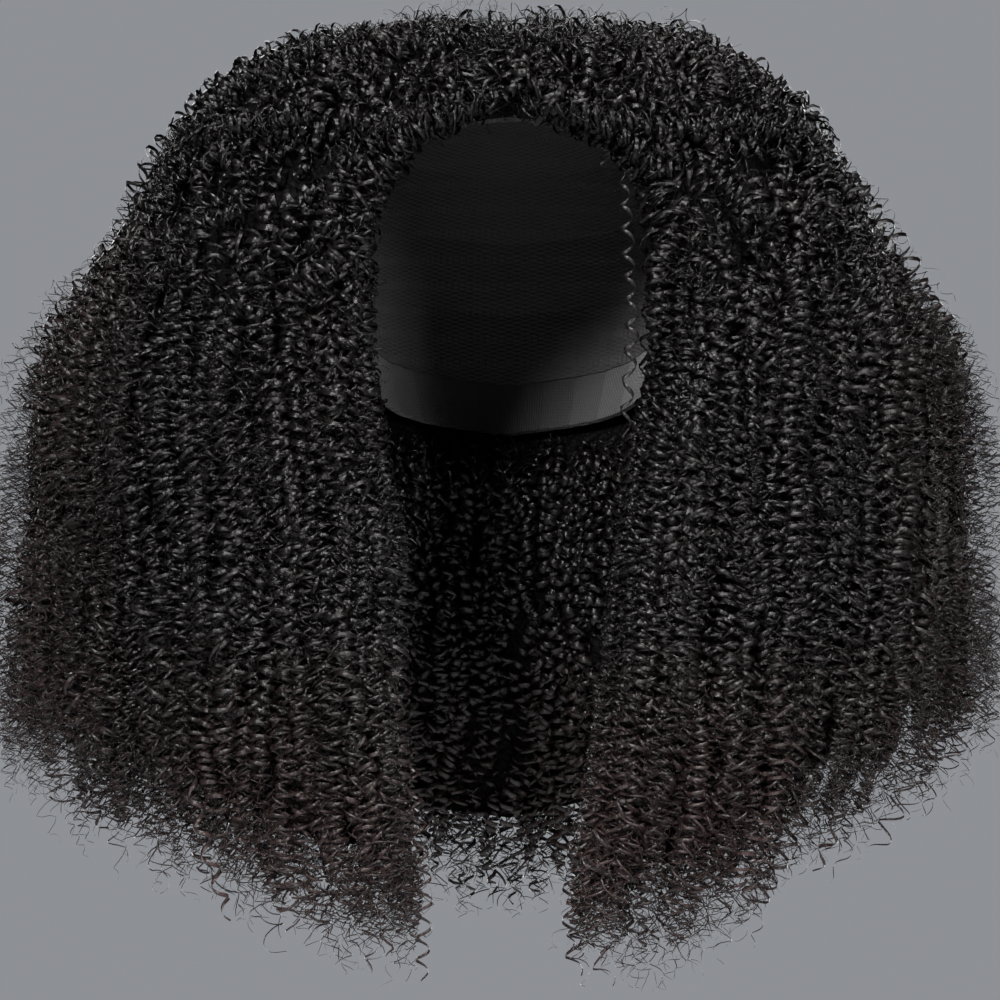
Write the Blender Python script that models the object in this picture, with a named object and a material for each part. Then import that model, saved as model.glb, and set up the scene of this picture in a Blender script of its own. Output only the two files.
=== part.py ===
"""Half wig of kinky curls on a three-quarter cap, at its real size, in metres, +Z up.

The wearer looks along -Y. The origin is the crown of the head, inside the top of the cap, where the wig sits.
Left and right are as someone facing the wearer sees them: left is -X.

The cap and its bands are shells on the ellipsoid of the head. The curls are thick shells of locks: each block
of curls runs between the outline of the whole hair and a form of head, neck and shoulders that it leaves free.
"""

import math
import random
from collections import namedtuple
from functools import lru_cache

import bmesh
import bpy
import numpy as np

# The head that the cap is made for
HEAD_HALF_WIDTH = 0.076
HEAD_HALF_LENGTH = 0.096
HEAD_VAULT = 0.100  # from the widest level of the head up to its crown

# Cap, bands and comb
CAP_WALL = 0.0018
BAND_WALL = 0.0022
BAND_WIDTH = 0.024
BAND_END_AZIMUTH = 100  # degrees from the face, at the ears
COMB_WALL = 0.0012
COMB_HALF_LENGTH = 0.024
COMB_SPINE = 0.005
COMB_TEETH_LENGTH = 0.018
COMB_TEETH = 11
COMB_SETBACK = 0.003  # between the band and the comb's spine

# The hair
HAIR_RISE = 0.020  # above the crown of the head
SEAM_DROP = 0.080  # from the crown of the head down to where the crown's curls end
HAIR_DROP = 0.402  # from the crown of the head down to level 1, just under the lowest ends
LEFT_DEPTH = 0.148  # hair beyond the side of the head, at its widest
RIGHT_DEPTH = 0.138
FRONT_DEPTH = 0.034  # hair ahead of the forehead
BACK_DEPTH = 0.082  # hair behind the back of the head
FACE_HALF_WIDTH = 0.0585  # half the opening beside the face, at its widest
SHOULDER_RISE = 0.028  # how far the curls' underside climbs inwards over a shoulder
OUTLINE_POWER = 2.2  # 2 is an ellipse, more is squarer
EDGE_ROUNDING = 0.026  # along the surface, beside the face
EDGE_THICKNESS = 0.42  # of the full thickness, at the very edge

# The locks on the hair's surface
LOCK_DEPTH = 0.007
TIP_DEPTH = 0.011  # deeper valleys between the tips
TIP_LENGTH = 0.040  # the stretch over which the tips part
TIP_CLOSING = 0.45  # how much of its thickness a lock loses by its tip
TIP_STEP = 0.014  # how much shorter the hair is between two tips
TIP_SCATTER = 0.0045
LOCK_FADE = 0.6  # power by which the locks rise from the top of the head
WAVE_PITCH = 0.058
WAVE_SIDEWAYS = 0.0050
WAVE_OUTWARDS = 0.0028
WAVE_TURN = 9  # how much of a wave changes with the azimuth, so that neighbours are out of step

GAP = 0.0004  # between pieces that touch
HAIR_GAP = 0.0015  # between the bands and the curls on them, which bend in longer facets

# Faces
ROWS_ON_CROWN = 10
ROWS_ON_FALL = 23
INNER_ROWS_ON_CROWN = 7
INNER_ROWS_ON_FALL = 12
INNER_ROW_CROWDING = 1.2  # rows lie closer where the hair rests on the head
COLUMNS_PER_LOCK = 3
LOCK_PROFILE = (0.0, 1.0, 0.85)  # height of the surface at each column of a lock
ARCH_LOCKS = 3  # on each side of the face
ARCH_CROWDING = 1.5  # columns lie closer where the arch is steep
CAP_COLUMNS = 36
CAP_ROWS = 6
BAND_ROWS = 2
MERIDIAN_SAMPLES = 160

HAIR_OFFSET = BAND_WALL + HAIR_GAP  # the curls lie on the bands, just clear of them
SIDE_REACH = {-1: HEAD_HALF_WIDTH + LEFT_DEPTH, 1: HEAD_HALF_WIDTH + RIGHT_DEPTH}
FRONT_REACH = HEAD_HALF_LENGTH + FRONT_DEPTH
BACK_REACH = HEAD_HALF_LENGTH + BACK_DEPTH

# A level is -1 at the top of the hair, 0 at the seam under the crown's curls and 1 just under the lowest ends.
# Outline of the whole hair: shares of its reach to each side.
Outline = namedtuple("Outline", "level left right front back")
OUTLINE = [
    Outline(-1.00, 0.000, 0.000, 0.00, 0.00),
    Outline(-0.95, 0.260, 0.330, 0.36, 0.34),
    Outline(-0.82, 0.450, 0.450, 0.60, 0.56),
    Outline(-0.65, 0.580, 0.555, 0.70, 0.69),
    Outline(-0.44, 0.660, 0.635, 0.76, 0.79),
    Outline(-0.22, 0.720, 0.710, 0.80, 0.85),
    Outline(0.00, 0.790, 0.780, 0.83, 0.89),
    Outline(0.07, 0.850, 0.845, 0.84, 0.91),
    Outline(0.13, 0.900, 0.900, 0.86, 0.93),
    Outline(0.27, 0.970, 0.960, 0.90, 0.97),
    Outline(0.47, 1.000, 1.000, 0.96, 1.00),
    Outline(0.60, 0.995, 0.990, 1.00, 1.00),
    Outline(0.72, 0.960, 0.940, 1.00, 0.98),
    Outline(0.80, 0.890, 0.860, 0.99, 0.96),
    Outline(0.88, 0.780, 0.750, 0.96, 0.92),
    Outline(1.00, 0.600, 0.600, 0.90, 0.86),
]

# Neck and shoulders that the hair leaves free: shares of the head's half width and half length.
Bust = namedtuple("Bust", "level side front back")
BUST = [
    Bust(0.00, 0.80, 0.600, 0.60),
    Bust(0.20, 0.92, 0.800, 0.65),
    Bust(0.34, 0.90, 0.875, 0.67),
    Bust(0.47, 0.88, 0.835, 0.69),
    Bust(0.56, 0.98, 0.815, 0.75),
    Bust(0.64, 1.32, 0.835, 0.83),
    Bust(0.73, 1.97, 0.875, 0.92),
    Bust(0.87, 2.34, 0.920, 1.02),
    Bust(1.00, 2.42, 0.940, 1.06),
]

# The opening for the face and neck: shares of FACE_HALF_WIDTH, an arch down to level 0 and a slot below it.
Opening = namedtuple("Opening", "level left right")
OPENING = [
    Opening(-0.52, 0.000, 0.000),
    Opening(-0.49, 0.310, 0.310),
    Opening(-0.44, 0.550, 0.565),
    Opening(-0.34, 0.755, 0.785),
    Opening(-0.20, 0.905, 0.925),
    Opening(0.00, 0.985, 1.000),
    Opening(0.13, 1.000, 1.000),
    Opening(0.20, 0.957, 0.950),
    Opening(0.27, 0.900, 0.855),
    Opening(0.33, 0.830, 0.830),
    Opening(0.41, 0.760, 0.760),
    Opening(0.49, 0.770, 0.700),
    Opening(0.60, 0.730, 0.630),
    Opening(0.71, 0.684, 0.530),
    Opening(0.81, 0.640, 0.436),
    Opening(0.89, 0.615, 0.430),
    Opening(0.94, 0.630, 0.510),
    Opening(1.00, 0.735, 0.680),
]

# The level of the hair's ends, by azimuth in degrees from the face.
Ends = namedtuple("Ends", "azimuth left right")
ENDS = [
    Ends(15, 0.915, 0.915),
    Ends(31, 0.915, 0.940),
    Ends(44, 0.875, 0.865),
    Ends(63, 0.800, 0.755),
    Ends(75, 0.740, 0.675),
    Ends(90, 0.690, 0.625),
    Ends(105, 0.710, 0.660),
    Ends(125, 0.820, 0.790),
    Ends(150, 0.905, 0.890),
    Ends(180, 0.930, 0.930),
]

# The rim of the cap and its bands: how far it lies below the crown, as a share of the head's vault.
Rim = namedtuple("Rim", "azimuth drop")
RIM = [
    Rim(0, 0.305),
    Rim(15, 0.32),
    Rim(28, 0.375),
    Rim(38, 0.475),
    Rim(45, 0.59),
    Rim(52, 0.78),
    Rim(70, 1.00),
    Rim(90, 1.13),
    Rim(115, 1.32),
    Rim(145, 1.50),
    Rim(180, 1.57),
]

# The blocks of curls under the seam, in degrees from the face. None starts at the opening beside the face.
Block = namedtuple("Block", "name side start end locks")
BLOCKS = [
    Block("right_front_curls", 1, None, 68, 6),
    Block("right_side_curls", 1, 68, 118, 6),
    Block("back_right_curls", 1, 118, 180, 6),
    Block("left_front_curls", -1, None, 68, 6),
    Block("left_side_curls", -1, 68, 118, 6),
    Block("back_left_curls", -1, 118, 180, 6),
]


def smooth(xs, ys, x):
    """Values at x of the curve through (xs, ys) that overshoots nowhere."""
    xs, ys = np.asarray(xs, float), np.asarray(ys, float)
    step = np.diff(xs)
    slope = np.diff(ys) / step
    bend = np.zeros(len(xs))
    same_way = slope[:-1] * slope[1:] > 0
    bend[1:-1][same_way] = (2 * slope[:-1] * slope[1:] / (slope[:-1] + slope[1:] + 1e-30))[same_way]
    bend[0], bend[-1] = slope[0], slope[-1]
    i = np.clip(np.searchsorted(xs, x, side="right") - 1, 0, len(step) - 1)
    t = np.clip((x - xs[i]) / step[i], 0, 1)
    return (
        (1 + 2 * t) * (1 - t) ** 2 * ys[i]
        + t * (1 - t) ** 2 * step[i] * bend[i]
        + t * t * (3 - 2 * t) * ys[i + 1]
        + t * t * (t - 1) * step[i] * bend[i + 1]
    )


def column(table, name):
    return [getattr(row, name) for row in table]


def height_at(level):
    """Z of a level of the hair."""
    above = -SEAM_DROP - level * (HAIR_RISE + SEAM_DROP)
    below = -SEAM_DROP - level * (HAIR_DROP - SEAM_DROP)
    return np.where(np.asarray(level) < 0, above, below)


def side_name(side):
    return "left" if side < 0 else "right"


def opening_at(level, side):
    """Half the opening's width at a level."""
    shares = column(OPENING, side_name(side))
    return FACE_HALF_WIDTH * smooth(column(OPENING, "level"), shares, level)


def ends_level(azimuth, side):
    return smooth(column(ENDS, "azimuth"), column(ENDS, side_name(side)), math.degrees(azimuth))


def oval(azimuth, half_width, half_length, power=2.0):
    """Radius of an oval at an azimuth measured from the face."""
    across = (np.abs(np.sin(azimuth)) / half_width) ** power
    along = (np.abs(np.cos(azimuth)) / half_length) ** power
    return (across + along) ** (-1 / power)


def place(azimuth, side, radius, z):
    return (side * radius * math.sin(azimuth), -radius * math.cos(azimuth), z)


@lru_cache(maxsize=None)
def outline_section(side, ahead):
    """Levels from the top of the hair to its lowest ends, with its half width and its reach at each."""
    rows = np.arange(len(OUTLINE))
    fine = np.linspace(0, rows[-1], MERIDIAN_SAMPLES)
    reach = (FRONT_REACH if ahead else BACK_REACH) * smooth(
        rows, column(OUTLINE, "front" if ahead else "back"), fine
    )
    width = SIDE_REACH[side] * smooth(rows, column(OUTLINE, side_name(side)), fine)
    return smooth(rows, column(OUTLINE, "level"), fine), width, reach


def outline_meridian(azimuth, side):
    """Levels and radii of the hair's outline from its top to its lowest ends, at one azimuth."""
    levels, width, reach = outline_section(side, math.cos(azimuth) > 0)
    radii = np.zeros(len(levels))
    radii[1:] = oval(azimuth, width[1:], reach[1:], OUTLINE_POWER)
    return levels, radii


def outline_radius(azimuth, side, level):
    levels, width, reach = outline_section(side, math.cos(azimuth) > 0)
    level = max(level, levels[1])
    across, along = np.interp(level, levels, width), np.interp(level, levels, reach)
    return float(oval(azimuth, across, along, OUTLINE_POWER))


def form_radius(azimuth, side, level):
    """Radius of the space left free for the banded head, the neck and the shoulders. Both sides are alike."""
    across = HEAD_HALF_WIDTH + HAIR_OFFSET
    along = HEAD_HALF_LENGTH + HAIR_OFFSET
    upright = HEAD_VAULT + HAIR_OFFSET
    share = math.sqrt(max(0.0, 1 - ((float(height_at(level)) + HEAD_VAULT) / upright) ** 2))
    head = oval(azimuth, across * share, along * share) if share > 0 else 0.0
    if level < 0:
        return head
    levels = column(BUST, "level")
    width = HEAD_HALF_WIDTH * smooth(levels, column(BUST, "side"), level)
    length = column(BUST, "front" if math.cos(azimuth) > 0 else "back")
    return max(head, oval(azimuth, width, HEAD_HALF_LENGTH * smooth(levels, length, level)))


def edge_azimuth(radius_of, level, side):
    """The azimuth at which a surface meets the side of the opening."""
    wanted = opening_at(level, side)
    low, high = 0.0, math.radians(85)
    for _ in range(40):
        middle = (low + high) / 2
        if radius_of(middle, side, level) * math.sin(middle) < wanted:
            low = middle
        else:
            high = middle
    return (low + high) / 2


def head_point(azimuth, polar, offset):
    """A point over the head: polar is the angle from its crown, and the azimuth's sign says the side."""
    across, along = HEAD_HALF_WIDTH + offset, HEAD_HALF_LENGTH + offset
    turn = math.atan2(math.sin(azimuth) / across, math.cos(azimuth) / along)
    return (
        across * math.sin(polar) * math.sin(turn),
        -along * math.sin(polar) * math.cos(turn),
        -HEAD_VAULT + (HEAD_VAULT + offset) * math.cos(polar),
    )


def polar_at(height, offset):
    return math.acos(max(-1.0, min(1.0, (height + HEAD_VAULT) / (HEAD_VAULT + offset))))


def rim_polar(azimuth):
    """Angle of the rim from the crown, seen from the head's middle."""
    drop = smooth(column(RIM, "azimuth"), column(RIM, "drop"), abs(math.degrees(azimuth)))
    return math.acos(1 - float(drop))


class Shell:
    """Collects the points and faces of one closed piece."""

    def __init__(self):
        self.mesh = bmesh.new()

    def points(self, places):
        return [self.mesh.verts.new(p) for p in places]

    def grid(self, rows, closed=False):
        """Faces between rows of places. Closed rows run round to their first column."""
        rows = [self.points(row) for row in rows]
        for upper, lower in zip(rows, rows[1:]):
            self.strip(upper, lower, closed)
        return rows

    def strip(self, upper, lower, closed=False):
        """Four-sided faces between two chains of as many points."""
        count = len(upper)
        for i in range(count if closed else count - 1):
            j = (i + 1) % count
            self.mesh.faces.new((upper[i], upper[j], lower[j], lower[i]))

    def fan(self, tip, ring):
        for i, point in enumerate(ring):
            self.mesh.faces.new((tip, point, ring[(i + 1) % len(ring)]))

    def stitch(self, first, second, second_at=None):
        """Triangles between two chains that run the same way.

        second_at gives the index in the first chain that each point of the second one lies by. Left out, they are
        spread evenly.
        """
        if second_at is None:
            second_at = np.linspace(0, len(first) - 1, len(second))
        i = j = 0
        while i < len(first) - 1 or j < len(second) - 1:
            if j == len(second) - 1 or (i < len(first) - 1 and i + 1 <= second_at[j + 1]):
                self.mesh.faces.new((first[i], first[i + 1], second[j]))
                i += 1
            else:
                self.mesh.faces.new((first[i], second[j + 1], second[j]))
                j += 1

    def build(self, name, material):
        bmesh.ops.recalc_face_normals(self.mesh, faces=self.mesh.faces)
        data = bpy.data.meshes.new(name)
        self.mesh.to_mesh(data)
        self.mesh.free()
        data.shade_smooth()
        data.set_sharp_from_angle(angle=math.radians(38))
        data.materials.append(material)
        piece = bpy.data.objects.new(name, data)
        bpy.context.scene.collection.objects.link(piece)
        return piece


def plain_material(name, colour, roughness, metallic=0.0):
    material = bpy.data.materials.new(name)
    material.use_nodes = True
    surface = material.node_tree.nodes["Principled BSDF"]
    surface.inputs["Base Color"].default_value = (*colour, 1.0)
    surface.inputs["Roughness"].default_value = roughness
    surface.inputs["Metallic"].default_value = metallic
    return material


def lock_columns(count):
    """(share of the way across, height in its lock) for each column of a block, both edges included."""
    total = count * COLUMNS_PER_LOCK
    return [(c / total, LOCK_PROFILE[c % COLUMNS_PER_LOCK]) for c in range(total + 1)]


def surface_row_places(levels, radii, first_level, last_level, rows):
    """(level, radius, way along the surface from the seam) of evenly spaced rows on a meridian."""
    heights = height_at(levels)
    way = np.concatenate([[0], np.cumsum(np.hypot(np.diff(heights), np.diff(radii)))])
    seam = np.interp(0, levels, way)
    start, end = np.interp([first_level, last_level], levels, way)
    at = np.linspace(start, end, rows + 1)
    return [(np.interp(w, way, levels), np.interp(w, way, radii), w - seam) for w in at]


def lock_surface(free, full, lift, way, azimuth, strength, to_tip, distance, moves=True):
    """A point on the wavy surface of a lock, between the form and the outline.

    strength is 0 where locks fade out, to_tip the way left to the lock's tip and distance the way from an opening.
    A block's two sides stay where they are, the rest moves sideways with the waves.
    """
    free, full = np.array(free), np.array(full)
    thick = np.linalg.norm(full - free)
    parted = max(0.0, 1 - to_tip / TIP_LENGTH)
    depth = LOCK_DEPTH + (TIP_DEPTH - LOCK_DEPTH) * parted
    phase = 2 * math.pi * way / WAVE_PITCH + WAVE_TURN * azimuth
    relief = strength * (WAVE_OUTWARDS * math.cos(phase) * lift - depth * (1 - lift))
    share = (1 + relief / thick) * (1 - TIP_CLOSING * parted**2) * edge_share(distance)
    x, y, z = free + (full - free) * share
    turn = strength * WAVE_SIDEWAYS * math.sin(phase) / math.hypot(x, y) if moves else 0.0
    return (x * math.cos(turn) - y * math.sin(turn), x * math.sin(turn) + y * math.cos(turn), z)


def edge_share(distance):
    """Thickness near the opening, which rounds off towards its edge."""
    inward = max(0.0, 1 - distance / EDGE_ROUNDING)
    return EDGE_THICKNESS + (1 - EDGE_THICKNESS) * math.sqrt(1 - inward * inward)


def block_azimuth(block, radius_of, level, share):
    """Azimuth at a share of the way across a block, a small gap inside its edges."""
    start = edge_azimuth(radius_of, level, block.side) if block.start is None else math.radians(block.start)
    end = math.radians(block.end)
    spacing = GAP / 2 / radius_of(end, block.side, level)
    if block.start is not None:
        start += spacing
    return start + (end - spacing - start) * share


def make_fall_block(block, material):
    """One block of curls under the seam: locks outside, the free form inside, tips below."""
    shell = Shell()
    scatter = random.Random(block.name)
    columns = lock_columns(block.locks)
    reach = [scatter.uniform(-TIP_SCATTER, TIP_SCATTER) for _ in range(block.locks + 1)]
    fall = HAIR_DROP - SEAM_DROP
    under_seam = GAP / fall
    outer = []
    for c, (share, lift) in enumerate(columns):
        rough = block_azimuth(block, outline_radius, 0.5, share)
        tip_change = reach[c // COLUMNS_PER_LOCK] * lift - TIP_STEP * (1 - lift)
        last = float(ends_level(rough, block.side)) + tip_change / fall
        levels, radii = outline_meridian(rough, block.side)
        line = []
        for level, _, way in surface_row_places(levels, radii, under_seam, last, ROWS_ON_FALL):
            azimuth = block_azimuth(block, outline_radius, level, share)
            radius = outline_radius(azimuth, block.side, level)
            inside = block_azimuth(block, form_radius, level, share)
            height = float(height_at(level))
            free = place(inside, block.side, form_radius(inside, block.side, level), height)
            full = place(azimuth, block.side, radius, height)
            distance = EDGE_ROUNDING
            if block.start is None:
                distance = (azimuth - block_azimuth(block, outline_radius, level, 0)) * radius
            to_tip = (last - level) * fall
            moves = 0 < c < len(columns) - 1
            line.append(
                lock_surface(free, full, lift, way, block.side * azimuth, 1.0, to_tip, distance, moves)
            )
        outer.append(line)
    inner = []
    inner_levels = np.linspace(0, 1, INNER_ROWS_ON_FALL + 1) ** INNER_ROW_CROWDING
    for share, _ in columns[::COLUMNS_PER_LOCK]:
        rough = block_azimuth(block, form_radius, 0.5, share)
        rise = SHOULDER_RISE * math.sin(rough) ** 2
        last = float(ends_level(rough, block.side)) - (rise + TIP_STEP) / fall
        line = []
        for level in under_seam + (last - under_seam) * inner_levels:
            azimuth = block_azimuth(block, form_radius, level, share)
            radius = form_radius(azimuth, block.side, level)
            line.append(place(azimuth, block.side, radius, float(height_at(level))))
        inner.append(line)
    outer = shell.grid(outer)
    inner = shell.grid(inner)
    shell.stitch([line[0] for line in outer], [line[0] for line in inner])
    shell.stitch([line[-1] for line in outer], [line[-1] for line in inner])
    shell.stitch(outer[0], inner[0])
    shell.stitch(outer[-1], inner[-1])
    return shell.build(block.name, material)


def arch_level(radius_of, side, azimuth):
    """Level of the arch over the face at an azimuth, on the outline or on the form."""
    rows = [row for row in OPENING if row.level <= 0]
    turns = [0.0] + [edge_azimuth(radius_of, row.level, side) for row in rows[1:]]
    return float(smooth(turns, column(rows, "level"), azimuth))


def crown_columns():
    """(side, outer azimuth, inner azimuth, height in its lock, whether it is over the face) once round the head."""
    found = []
    for side in (1, -1):
        half = []
        outer_edge = edge_azimuth(outline_radius, 0.0, side)
        inner_edge = edge_azimuth(form_radius, 0.0, side)
        for share, lift in lock_columns(ARCH_LOCKS)[:-1]:
            share = 1 - (1 - share) ** ARCH_CROWDING
            half.append((side, outer_edge * share, inner_edge * share, lift, True))
        for block in (b for b in BLOCKS if b.side == side):
            for share, lift in lock_columns(block.locks)[:-1]:
                outer = block_azimuth(block, outline_radius, 0.0, share)
                inner = block_azimuth(block, form_radius, 0.0, share)
                half.append((side, outer, inner, lift, False))
        if side > 0:
            found += half + [(side, math.pi, math.pi, LOCK_PROFILE[0], False)]
        else:
            found += half[:0:-1]
    return found


def make_crown(material):
    """The curls over the top of the head, an arch over the face and a level seam all round behind it."""
    shell = Shell()
    above_seam = -GAP / (HAIR_RISE + SEAM_DROP)
    columns = crown_columns()
    outer = []
    for side, azimuth, inside, lift, over_face in columns:
        levels, radii = outline_meridian(azimuth, side)
        last = min(above_seam, arch_level(outline_radius, side, azimuth) if over_face else 0.0)
        corner = edge_azimuth(outline_radius, 0.0, side)
        places = surface_row_places(levels, radii, -1, last, ROWS_ON_CROWN)
        line = []
        for row, (level, radius, way) in enumerate(places[1:], 1):
            height = float(height_at(level))
            free = head_point(side * inside, polar_at(height, HAIR_OFFSET), HAIR_OFFSET)
            full = place(azimuth, side, radius, height)
            away = 0.0 if over_face else (azimuth - corner) * radius
            distance = math.hypot(away, places[-1][2] - way)
            strength = (row / ROWS_ON_CROWN) ** LOCK_FADE
            line.append(
                lock_surface(free, full, lift, way, side * azimuth, strength, TIP_LENGTH, distance)
            )
        outer.append(line)
    inner = []
    kept = [c for c, row in enumerate(columns) if row[-1] or c % COLUMNS_PER_LOCK == 0]
    for side, _, azimuth, _, over_face in (columns[c] for c in kept):
        last = min(above_seam, arch_level(form_radius, side, azimuth) if over_face else 0.0)
        polar = polar_at(float(height_at(last)), HAIR_OFFSET)
        shares = np.arange(1, INNER_ROWS_ON_CROWN + 1) / INNER_ROWS_ON_CROWN
        inner.append([head_point(side * azimuth, polar * share, HAIR_OFFSET) for share in shares])
    outer_rows = shell.grid([list(row) for row in zip(*outer)], closed=True)
    inner_rows = shell.grid([list(row) for row in zip(*inner)], closed=True)
    shell.fan(shell.points([(0, 0, HAIR_RISE)])[0], outer_rows[0])
    shell.fan(shell.points([(0, 0, HAIR_OFFSET)])[0], inner_rows[0])
    outer_rim = outer_rows[-1] + outer_rows[-1][:1]
    inner_rim = inner_rows[-1] + inner_rows[-1][:1]
    shell.stitch(outer_rim, inner_rim, kept + [len(columns)])
    return shell.build("crown_curls", material)


def make_cap(material):
    """The net cap, from the crown down to the bands."""
    shell = Shell()
    rows = {}
    for offset in (0.0, CAP_WALL):
        rings = []
        for row in range(1, CAP_ROWS + 1):
            ring = []
            for c in range(CAP_COLUMNS):
                azimuth = 2 * math.pi * c / CAP_COLUMNS - math.pi
                polar = rim_polar(azimuth) - (BAND_WIDTH + GAP) / HEAD_VAULT
                ring.append(head_point(azimuth, polar * row / CAP_ROWS, offset))
            rings.append(ring)
        rows[offset] = shell.grid(rings, closed=True)
        shell.fan(shell.points([(0, 0, offset)])[0], rows[offset][0])
    shell.strip(rows[0.0][-1], rows[CAP_WALL][-1], closed=True)
    return shell.build("cap", material)


def make_band(name, start, end, material):
    """An elastic band along the rim of the cap, from one azimuth to another, in degrees."""
    shell = Shell()
    surfaces = {}
    step = 360 / CAP_COLUMNS
    turns = np.arange(start, end + step / 2, step)
    turns[0] += math.degrees(GAP / HEAD_HALF_WIDTH)
    turns[-1] -= math.degrees(GAP / HEAD_HALF_WIDTH)
    for offset in (0.0, BAND_WALL):
        lines = []
        for turn in turns:
            azimuth = math.radians((turn + 180) % 360 - 180)
            upper = rim_polar(azimuth) - BAND_WIDTH / HEAD_VAULT
            shares = np.arange(BAND_ROWS + 1) / BAND_ROWS
            lines.append(
                [head_point(azimuth, upper + share * BAND_WIDTH / HEAD_VAULT, offset) for share in shares]
            )
        surfaces[offset] = shell.grid(lines)
    inside, outside = surfaces[0.0], surfaces[BAND_WALL]
    shell.strip([line[0] for line in inside], [line[0] for line in outside])
    shell.strip([line[-1] for line in inside], [line[-1] for line in outside])
    shell.strip(inside[0], outside[0])
    shell.strip(inside[-1], outside[-1])
    return shell.build(name, material)


def make_comb(material):
    """The comb inside the front of the cap: a spine behind the band, with teeth that point to the crown."""
    shell = Shell()
    columns = 2 * COMB_TEETH - 1
    polar_spine = rim_polar(0) - (BAND_WIDTH + COMB_SETBACK) / HEAD_VAULT
    radius = HEAD_HALF_LENGTH * math.sin(polar_spine)
    half_turn = COMB_HALF_LENGTH / radius
    polars = [polar_spine - way / HEAD_VAULT for way in (0, COMB_SPINE, COMB_SPINE + COMB_TEETH_LENGTH)]
    surfaces = []
    for offset in (-GAP - COMB_WALL, -GAP):
        surfaces.append(
            [
                shell.points(
                    head_point(half_turn * (2 * c / columns - 1), polar, offset)
                    for c in range(columns + 1)
                )
                for polar in polars
            ]
        )
    cells = {(0, c) for c in range(columns)} | {(1, c) for c in range(0, columns, 2)}
    for row, c in cells:
        corners = [(row, c), (row, c + 1), (row + 1, c + 1), (row + 1, c)]
        for surface in surfaces:
            shell.mesh.faces.new([surface[r][k] for r, k in corners])
        beside = [(row - 1, c), (row, c + 1), (row + 1, c), (row, c - 1)]
        for edge, other in enumerate(beside):
            if other not in cells:
                (r, k), (s, m) = corners[edge], corners[(edge + 1) % 4]
                shell.mesh.faces.new(
                    (surfaces[0][r][k], surfaces[0][s][m], surfaces[1][s][m], surfaces[1][r][k])
                )
    bmesh.ops.delete(shell.mesh, geom=[v for v in shell.mesh.verts if not v.link_faces], context="VERTS")
    return shell.build("front_comb", material)


def clear_scene():
    for old in list(bpy.data.objects):
        bpy.data.objects.remove(old)


def make_wig():
    clear_scene()
    hair = plain_material("hair", (0.016, 0.014, 0.013), 0.42)
    net = plain_material("cap_net", (0.012, 0.012, 0.013), 0.85)
    elastic = plain_material("elastic_band", (0.010, 0.010, 0.011), 0.7)
    plastic = plain_material("comb_plastic", (0.015, 0.013, 0.012), 0.35)
    make_cap(net)
    make_band("front_band", -BAND_END_AZIMUTH, BAND_END_AZIMUTH, elastic)
    make_band("nape_band", BAND_END_AZIMUTH, 360 - BAND_END_AZIMUTH, elastic)
    make_comb(plastic)
    make_crown(hair)
    for block in BLOCKS:
        make_fall_block(block, hair)


make_wig()
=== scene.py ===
"""Half wig of kinky curls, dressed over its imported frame. Metres, +Z up, the wearer looks along -Y."""

import math
from collections import namedtuple

import bpy
import numpy as np
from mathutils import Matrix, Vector


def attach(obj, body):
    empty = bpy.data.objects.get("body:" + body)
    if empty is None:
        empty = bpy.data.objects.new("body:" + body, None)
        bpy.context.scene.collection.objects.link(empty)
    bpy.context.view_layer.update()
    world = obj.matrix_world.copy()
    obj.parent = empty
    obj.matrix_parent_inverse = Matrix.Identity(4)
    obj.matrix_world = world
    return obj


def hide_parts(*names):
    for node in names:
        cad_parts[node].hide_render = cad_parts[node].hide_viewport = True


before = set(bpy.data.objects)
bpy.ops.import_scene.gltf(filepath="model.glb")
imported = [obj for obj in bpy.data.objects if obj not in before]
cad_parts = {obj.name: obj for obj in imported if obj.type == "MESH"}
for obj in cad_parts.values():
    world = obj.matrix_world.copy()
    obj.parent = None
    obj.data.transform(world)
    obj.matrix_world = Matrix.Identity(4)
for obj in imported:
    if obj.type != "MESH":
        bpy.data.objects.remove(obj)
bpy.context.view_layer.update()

# The cap: a three-quarter dome of black stretch net, knitted in small diamonds. Rows of machine-stitched
# weft run round it on the outside and show through as close ridges. It is sewn to the bands along its rim.
NET_CELL = 0.0021
WEFT_SPACING = 0.0125
WEFT_WIDTH = 0.0042
STITCH_LENGTH = 0.0028
CAP_MIDDLE = (0.0, 0.0, -0.100)  # of the head inside the cap
CAP_GIRTH_RADIUS = 0.086  # halfway between its half width and its half length
CAP_VAULT_RADIUS = 0.098  # from its middle up over the top
SHARP_TURN = 40  # degrees from which an edge stays sharp
NET_COLOUR = (0.016, 0.015, 0.016)
NET_HOLE_COLOUR = (0.004, 0.004, 0.004)
THREAD_COLOUR = (0.045, 0.042, 0.043)


class Value:
    """A number, colour or vector in a finish. Python's operators work on it."""

    def __init__(self, finish, socket):
        self.finish, self.socket = finish, socket

    def math(self, operation, *others):
        return self.finish.node("ShaderNodeMath", {"operation": operation}, self, *others)

    def __add__(self, other):
        return self.math("ADD", other)

    def __sub__(self, other):
        return self.math("SUBTRACT", other)

    def __rsub__(self, other):
        return self.finish.node("ShaderNodeMath", {"operation": "SUBTRACT"}, other, self)

    def __mul__(self, other):
        return self.math("MULTIPLY", other)

    def __pow__(self, other):
        return self.math("POWER", other)

    __radd__, __rmul__ = __add__, __mul__

    def sine(self):
        return self.math("SINE")

    def size(self):
        return self.math("ABSOLUTE")

    def part(self):
        return self.math("FRACT")

    def below(self, other):
        return self.math("LESS_THAN", other)


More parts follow.
